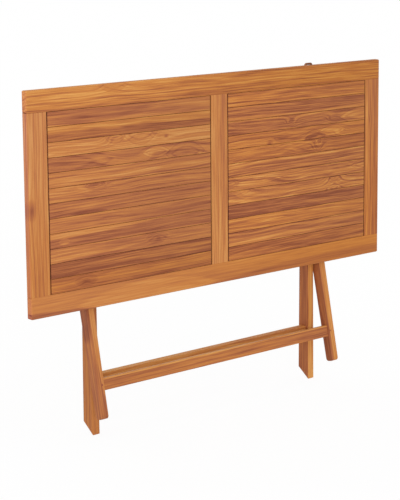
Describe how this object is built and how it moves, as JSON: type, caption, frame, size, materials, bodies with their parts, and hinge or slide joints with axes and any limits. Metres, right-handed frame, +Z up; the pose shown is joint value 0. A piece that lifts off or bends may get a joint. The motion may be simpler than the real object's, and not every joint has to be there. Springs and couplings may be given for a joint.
{
  "type": "folding slatted garden table",
  "caption": "Folding rectangular hardwood garden table with a slatted top and crossing legs, shown folded flat.",
  "frame": {"origin": "centre of the bounding box in X and Y, on the floor under the tips of the inner feet", "axes": "+X along the table top, +Y from the table surface to the legs behind it, +Z up, folded"},
  "size_m": [1.3, 0.2138, 0.9788],
  "materials": {
    "frame_wood": "oiled",
    "slat_wood": "oiled",
    "leg_wood": "oiled",
    "dowel_wood": "oiled",
    "hardware_metal": "satin",
    "dark_wire": "satin"
  },
  "bodies": {
    "inner_frame": {"inner_leg_left": "leg_wood", "inner_leg_right": "leg_wood", "inner_bar": "leg_wood", "inner_bar_dowels": "dowel_wood", "scissor_bolts": "hardware_metal", "scissor_nuts": "hardware_metal", "scissor_washers": "hardware_metal", "hinge_bolt_left": "hardware_metal", "hinge_bolt_right": "hardware_metal", "hinge_nuts": "hardware_metal", "hinge_washers": "hardware_metal"},
    "top": {"long_rail_lower": "frame_wood", "long_rail_upper": "frame_wood", "end_stile_left": "frame_wood", "centre_stile": "frame_wood", "end_stile_right": "frame_wood", "slat_left_01": "slat_wood", "slat_left_02": "slat_wood", "slat_left_03": "slat_wood", "slat_left_04": "slat_wood", "slat_left_05": "slat_wood", "slat_left_06": "slat_wood", "slat_left_07": "slat_wood", "slat_left_08": "slat_wood", "slat_left_09": "slat_wood", "slat_left_10": "slat_wood", "slat_left_11": "slat_wood", "slat_left_12": "slat_wood", "slat_right_01": "slat_wood", "slat_right_02": "slat_wood", "slat_right_03": "slat_wood", "slat_right_04": "slat_wood", "slat_right_05": "slat_wood", "slat_right_06": "slat_wood", "slat_right_07": "slat_wood", "slat_right_08": "slat_wood", "slat_right_09": "slat_wood", "slat_right_10": "slat_wood", "slat_right_11": "slat_wood", "slat_right_12": "slat_wood", "bearer_left": "leg_wood", "bearer_right": "leg_wood", "tenon_pins": "dowel_wood", "bearer_screws": "hardware_metal", "hanging_loop": "dark_wire"},
    "outer_frame": {"outer_leg_left": "leg_wood", "outer_leg_right": "leg_wood", "outer_upper_bar": "leg_wood", "outer_lower_bar": "leg_wood", "outer_upper_bar_dowels": "dowel_wood", "outer_lower_bar_dowels": "dowel_wood"}
  },
  "joints": [
    {"name": "top_hinge", "type": "hinge", "parent": "inner_frame", "child": "top", "pos_m": [0, -0.00703, 0.847], "axis": [-1, 0, 0], "range_deg": [0, 55.4]},
    {"name": "leg_scissor", "type": "hinge", "parent": "inner_frame", "child": "outer_frame", "pos_m": [0, -0.00703, 0.476], "axis": [-1, 0, 0], "range_deg": [0, 94.7]}
  ],
  "couplings": [
    {"joint": "leg_scissor", "follows": "top_hinge", "ratio": 1.7093}
  ]
}
